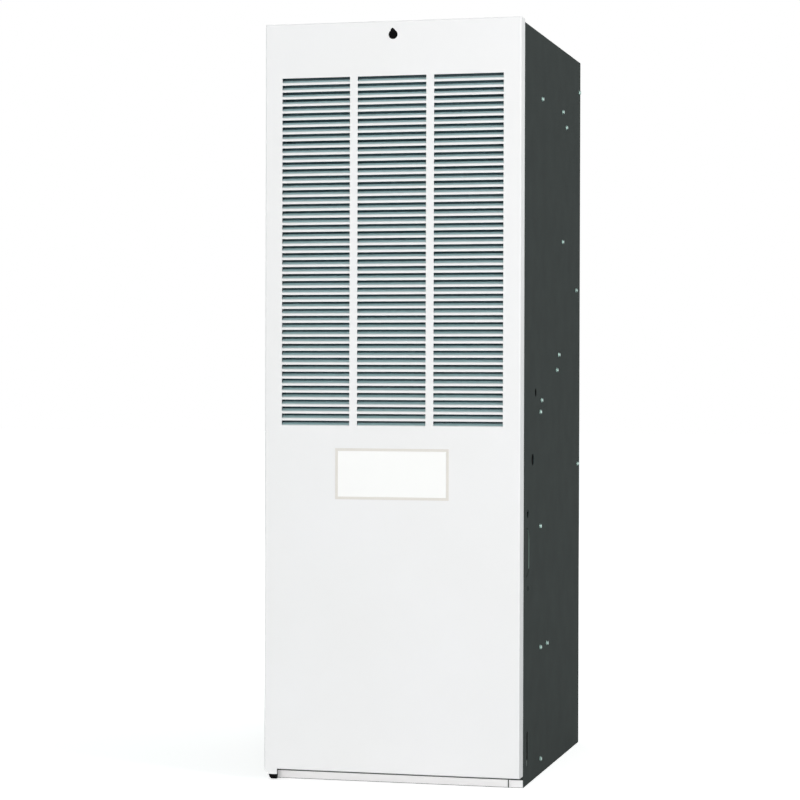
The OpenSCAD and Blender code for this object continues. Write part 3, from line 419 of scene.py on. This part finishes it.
def motor_enamel():
    """Dark semi-gloss enamel on rolled motor shells, dulled by a film of dust on what faces up."""
    surface = new_surface("dark_motor_enamel", IOR=1.5)
    tree, place = surface.tree, surface.place
    peel = add(tree, "ShaderNodeTexNoise",
               {"Vector": place, "Scale": per_mm(2.2), "Detail": 3}).outputs["Fac"]
    patch = add(tree, "ShaderNodeTexNoise",
                {"Vector": place, "Scale": per_mm(25), "Detail": 5}).outputs["Fac"]
    normal = add(tree, "ShaderNodeNewGeometry").outputs["Normal"]
    upward = add(tree, "ShaderNodeSeparateXYZ", {"Vector": normal}).outputs["Z"]
    dust = add(tree, "ShaderNodeMath", {0: upward, 1: patch}, operation="MULTIPLY",
               use_clamp=True).outputs[0]
    set_colour(surface, dust, (0.1, "2a2d30"), (0.7, "4a4a48"))
    set_roughness(surface, dust, 0.34, 0.8)
    set_relief(surface, peel, 0.2, 0.04)
    return surface


def filter_fibre():
    """Pleated synthetic filter media: a dark blue-green felt, its loose fibres drawn coarse."""
    surface = new_surface("synthetic_filter_fibre", Roughness=0.95, Specular_IOR_Level=0.1)
    tree = surface.tree
    stretched = add(tree, "ShaderNodeMapping", {
        "Vector": surface.place, "Scale": (per_mm(4), per_mm(0.7), per_mm(0.7))})
    felt = add(tree, "ShaderNodeTexNoise",
               {"Vector": stretched.outputs["Vector"], "Scale": 1, "Detail": 6}).outputs["Fac"]
    set_colour(surface, felt, (0.35, "43555a"), (0.65, "586d73"))
    set_relief(surface, felt, 0.8, 0.4)
    return surface


# The board's posts start behind its laminate
BOARD_POSTS = {"y": (1.7, None)}


def board_laminate():
    """Printed circuit board: green mask over copper tracks, drawn coarse, on nylon posts."""
    surface = new_surface("masked_circuit_laminate", IOR=1.5)
    tree = surface.tree
    upright = add(tree, "ShaderNodeMapping",
                  {"Vector": surface.place, "Rotation": (math.radians(90), 0, 0)})
    tracks = add(tree, "ShaderNodeTexBrick", {
        "Vector": upright.outputs["Vector"], "Color1": to_linear("1c5a3c"),
        "Color2": to_linear("1f6341"), "Mortar": to_linear("2c7d55"), "Scale": per_mm(5),
        "Mortar Size": 0.08, "Brick Width": 2.3, "Row Height": 0.5}).outputs
    tree.links.new(tracks["Color"], surface.shader.inputs["Base Color"])
    set_roughness(surface, tracks["Fac"], 0.28, 0.4)
    set_relief(surface, tracks["Fac"], 0.5, 0.05)
    posts = inside_box(surface, *region("control_board", **BOARD_POSTS))
    paint_over(surface, posts, "dedbd0", roughness=0.5)
    return surface


# Parts of the board that aren't black, and their colours
CAPACITORS = {"x": (2, 66), "z": (46, 62)}
TERMINAL_STRIP = {"x": (None, 101), "z": (None, 13)}
FUSE = {"x": (69, 95), "z": (33, 41)}
BOARD_COLOURS = ((CAPACITORS, "3b4468"), (TERMINAL_STRIP, "d6d2c2"), (FUSE, "7a3f96"))


def board_components():
    """Moulded parts: black relays, blue-grey capacitors, a pale terminal strip, a violet fuse."""
    surface = moulded_plastic("board_component_plastic", "17171a", "1f1f22", 0.45)
    for spans, colour in BOARD_COLOURS:
        part = inside_box(surface, *region("board_parts", **spans))
        paint_over(surface, part, colour, roughness=0.42)
    return surface


# The two sides of the transformer's winding, left and right of its middle leg
WINDINGS = ({"x": (9.9, 26.1), "y": (None, -3), "z": (24, 44)},
            {"x": (39.9, 56.1), "y": (None, -3), "z": (24, 44)})


def transformer_core():
    """Stacked steel laminations, seen as fine lines, round a taped winding."""
    surface = drawn_metal("transformer_laminations", "3c3e42", "5a5c60", "x", 0.5)
    for spans in WINDINGS:
        winding = inside_box(surface, *region("transformer", **spans))
        paint_over(surface, winding, "c99a3f", metallic=0, roughness=0.5)
    return surface


# The terminal block stands proud of the valve's front, right of its middle
TERMINAL_BLOCK = {"x": (31, None), "y": (None, 9.9)}


def valve_casting():
    """Die-cast aluminium gas valve, softly pitted, with a black terminal block on its front."""
    surface = new_surface("die_cast_aluminium", Metallic=1)
    skin = add(surface.tree, "ShaderNodeTexNoise",
               {"Vector": surface.place, "Scale": per_mm(1.4), "Detail": 5}).outputs["Fac"]
    set_colour(surface, skin, (0.3, "9c9da0"), (0.7, "b6b7b9"))
    set_roughness(surface, skin, 0.42, 0.6)
    set_relief(surface, skin, 0.4, 0.05)
    block = inside_box(surface, *region("gas_valve", **TERMINAL_BLOCK))
    paint_over(surface, block, "1b1b1d", metallic=0, roughness=0.45)
    return surface


def ceramic_and_rod(name, piece, rod_top, rod_colour):
    """Chalky unglazed ceramic, its grit drawn coarse, round a bare metal rod or element.

    The rod shows below rod_top millimetres from the piece's foot.
    """
    surface = new_surface(name, IOR=1.55, Roughness=0.7)
    grain = add(surface.tree, "ShaderNodeTexNoise",
                {"Vector": surface.place, "Scale": per_mm(0.6), "Detail": 3}).outputs["Fac"]
    set_colour(surface, grain, (0.3, "e3dccb"), (0.7, "efe9db"))
    set_relief(surface, grain, 0.4, 0.03)
    bare = inside_box(surface, *region(piece, z=(None, rod_top)))
    paint_over(surface, bare, rod_colour, metallic=1, roughness=0.45)
    return surface


PLATE_BORDER = 5  # millimetres


def name_plate_film():
    """Smooth bare film: a bright white field inside a warm grey border."""
    surface = new_surface("bare_plate_film", Roughness=0.35, IOR=1.5)
    fleck = add(surface.tree, "ShaderNodeTexNoise",
                {"Vector": surface.place, "Scale": per_mm(2), "Detail": 2}).outputs["Fac"]
    set_colour(surface, fleck, (0.3, "dfdbd6"), (0.7, "e4e0db"))
    inner = (PLATE_BORDER, -PLATE_BORDER)
    field = inside_box(surface, *region("name_plate", x=inner, z=inner))
    paint_over(surface, field, "fefefe")
    return surface


def dress(surface, *pieces):
    """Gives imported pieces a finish."""
    for piece in pieces:
        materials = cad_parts[piece].data.materials
        materials.clear()
        materials.append(surface.material)


def dress_cabinet_and_door():
    # The same enamel, painted whiter on the toe strip as painted light against the shade under the
    # door
    dress(white_enamel("white_baked_enamel", "f1f1f2", "f3f3f5"), "door_panel", "toe_end_block")
    dress(white_enamel("white_baked_enamel_painted_lighter", "fafafb", "fcfcfd"), "toe_strip")
    dress(charcoal_coil_coat(), "left_side_panel", "back_panel", "top_panel", "front_header")
    dress(right_wall_finish(), "right_side_panel")
    dress(galvanised_sheet(), "vestibule_panel", "blower_deck", "filter_rack", "blower_scroll",
          "blower_side_left", "blower_side_right", "blower_wheel", "motor_mount")
    dress(pan_finish(), "base_pan")
    dress(zinc_plate(), "cabinet_screws")
    dress(name_plate_film(), "name_plate")
    dress(filter_fibre(), "filter_media")


def dress_mouldings():
    # Nylon, almost without shine
    dress(moulded_plastic("black_latch_nylon", "050506", "08080a", 0.6, 0.04),
          "door_latch", "door_support_clip")
    # Housings with a soft sheen
    dress(moulded_plastic("black_moulded_plastic", "111112", "18181a", 0.5),
          "header_box", "condensate_trap", "door_switch", "rollout_switch", "junction_box")
    dress(moulded_plastic("dark_grey_moulded_plastic", "262729", "2f3032", 0.5),
          "inducer_housing", "inducer_wheel", "pressure_switch", "limit_switch")
    # A dull frame that looks blue through the louvres
    dress(moulded_plastic("blue_grey_frame_plastic", "3d4c51", "435358", 0.6, 0.2),
          "filter_frame")
    # Rubber: matt, with a wide weak highlight
    dress(moulded_plastic("black_rubber", "131313", "1c1c1c", 0.8, 0.3),
          "pipe_grommets", "door_gasket")
    # Extruded vent pipe and its fittings: off-white and fairly glossy
    dress(moulded_plastic("white_pipe_vinyl", "e9e8e3", "f0efeb", 0.35),
          "flue_pipe", "flue_coupling", "air_pipe", "air_coupling", "door_switch_plunger")
    # Glossy red on what a hand works
    dress(moulded_plastic("red_moulded_plastic", "a8141a", "b81c20", 0.4),
          "gas_valve_lever", "rollout_button")


def dress_works():
    dress(aluminised_sheet(), "burner_box", "burners")
    # Stainless tube, warm grey with a soft sheen
    dress(drawn_metal("stainless_tube", "8f8c86", "b5b2ab", "y", 0.34),
          "exchanger_tubes", "rear_collector", "condensing_coil")
    # Ground steel, the glossiest of the metals
    dress(drawn_metal("ground_shaft_steel", "8f9092", "b9babb", "x", 0.24), "blower_shaft")
    # Rolled aluminium, pale and bright
    dress(drawn_metal("aluminium_fin_stock", "c2c4c6", "dcdddf", "y", 0.36),
          "coil_fins", "motor_capacitor")
    dress(black_iron_pipe(), "gas_inlet_pipe")
    dress(manifold_pipe(), "gas_manifold")
    dress(motor_enamel(), "blower_motor", "inducer_motor")
    dress(valve_casting(), "gas_valve")
    dress(board_laminate(), "control_board")
    dress(board_components(), "board_parts")
    dress(transformer_core(), "transformer")
    dress(ceramic_and_rod("igniter_ceramic", "igniter", 20, "4a4b4d"), "igniter")
    dress(ceramic_and_rod("flame_sensor_ceramic", "flame_sensor", 28, "8a8782"), "flame_sensor")


# ---------- light, floor and backdrop ----------

LAMP_COLOUR = "fffaf8"
FURNACE_MIDDLE = Vector((0, 0, 0.7))  # metres

# Strength of the world's light on the furnace; where it is seen directly it is 1, a plain white.
WORLD_LIGHT = 0.36

FLOOR_REACH = 30  # metres
# The floor's glow where it is seen directly: weaker near the furnace, so that its shadow shows,
# and stronger where no lamp reaches. Distances in metres from the furnace's middle.
GLOW_NEAR, NEAR = 0.61, 1
GLOW_FAR, FAR = 0.8, 3


def add_softbox(name, place, width, height, power):
    """Softbox at a place in metres, aimed at the middle of the furnace. power is in watts."""
    data = bpy.data.lights.new(name, "AREA")
    data.shape = "RECTANGLE"
    data.size = width
    data.size_y = height
    data.energy = power
    data.color = to_linear(LAMP_COLOUR)[:3]
    lamp = bpy.data.objects.new(name, data)
    place = Vector(place)
    turn = (FURNACE_MIDDLE - place).to_track_quat("-Z", "Y").to_matrix()
    lamp.matrix_world = Matrix.Translation(place) @ turn.to_4x4()
    bpy.context.scene.collection.objects.link(lamp)


def add_lights():
    add_softbox("front_softbox", (1.45, -10.7, 2.15), 4.8, 1.5, 525)
    add_softbox("high_side_softbox", (5.2, -1.6, 4.6), 2.6, 2.6, 165)
    add_softbox("rear_softbox", (-3.5, 5.5, 3), 3, 3, 170)


def seen_directly(tree):
    """1 for rays from the camera, a mirror or glass, and 0 for rays that light the furnace."""
    path = add(tree, "ShaderNodeLightPath").outputs
    seen = path["Is Camera Ray"]
    for other in ("Is Glossy Ray", "Is Transmission Ray"):
        seen = add(tree, "ShaderNodeMath", {0: seen, 1: path[other]},
                   operation="MAXIMUM").outputs[0]
    return seen


def studio_paper():
    """White paper that shows white and keeps the furnace's soft shadow."""
    material = bpy.data.materials.new("white_studio_paper")
    tree = cleared_tree(material)
    paper = add(tree, "ShaderNodeBsdfDiffuse", {"Color": to_linear("ececec")})
    place = add(tree, "ShaderNodeTexCoord").outputs["Object"]
    away = add(tree, "ShaderNodeVectorMath", {0: place}, operation="LENGTH").outputs["Value"]
    level = add(tree, "ShaderNodeMapRange", {
        "Value": away, "From Min": NEAR, "From Max": FAR,
        "To Min": GLOW_NEAR, "To Max": GLOW_FAR}).outputs["Result"]
    strength = add(tree, "ShaderNodeMath", {0: seen_directly(tree), 1: level},
                   operation="MULTIPLY").outputs[0]
    glow = add(tree, "ShaderNodeEmission", {"Color": to_linear("ffffff"), "Strength": strength})
    both = add(tree, "ShaderNodeAddShader", {0: paper.outputs[0], 1: glow.outputs[0]})
    add(tree, "ShaderNodeOutputMaterial", {"Surface": both.outputs[0]})
    return material


def add_floor():
    mesh = bpy.data.meshes.new("floor")
    shape = bmesh.new()
    bmesh.ops.create_grid(shape, x_segments=1, y_segments=1, size=FLOOR_REACH)
    shape.to_mesh(mesh)
    shape.free()
    mesh.materials.append(studio_paper())
    floor = bpy.data.objects.new("floor", mesh)
    bpy.context.scene.collection.objects.link(floor)


def add_world():
    world = bpy.data.worlds.new("studio")
    bpy.context.scene.world = world
    tree = cleared_tree(world)
    seen = seen_directly(tree)
    colour = blend_colours(tree, seen, [(0, "e0f0f0"), (1, "ffffff")])
    strength = add(tree, "ShaderNodeMapRange",
                   {"Value": seen, "To Min": WORLD_LIGHT, "To Max": 1}).outputs["Result"]
    sky = add(tree, "ShaderNodeBackground", {"Color": colour, "Strength": strength})
    add(tree, "ShaderNodeOutputWorld", {"Surface": sky.outputs[0]})


add_camera()
add_world()
add_lights()
add_floor()
dress_cabinet_and_door()
dress_mouldings()
dress_works()
bpy.context.scene.view_settings.view_transform = "Standard"
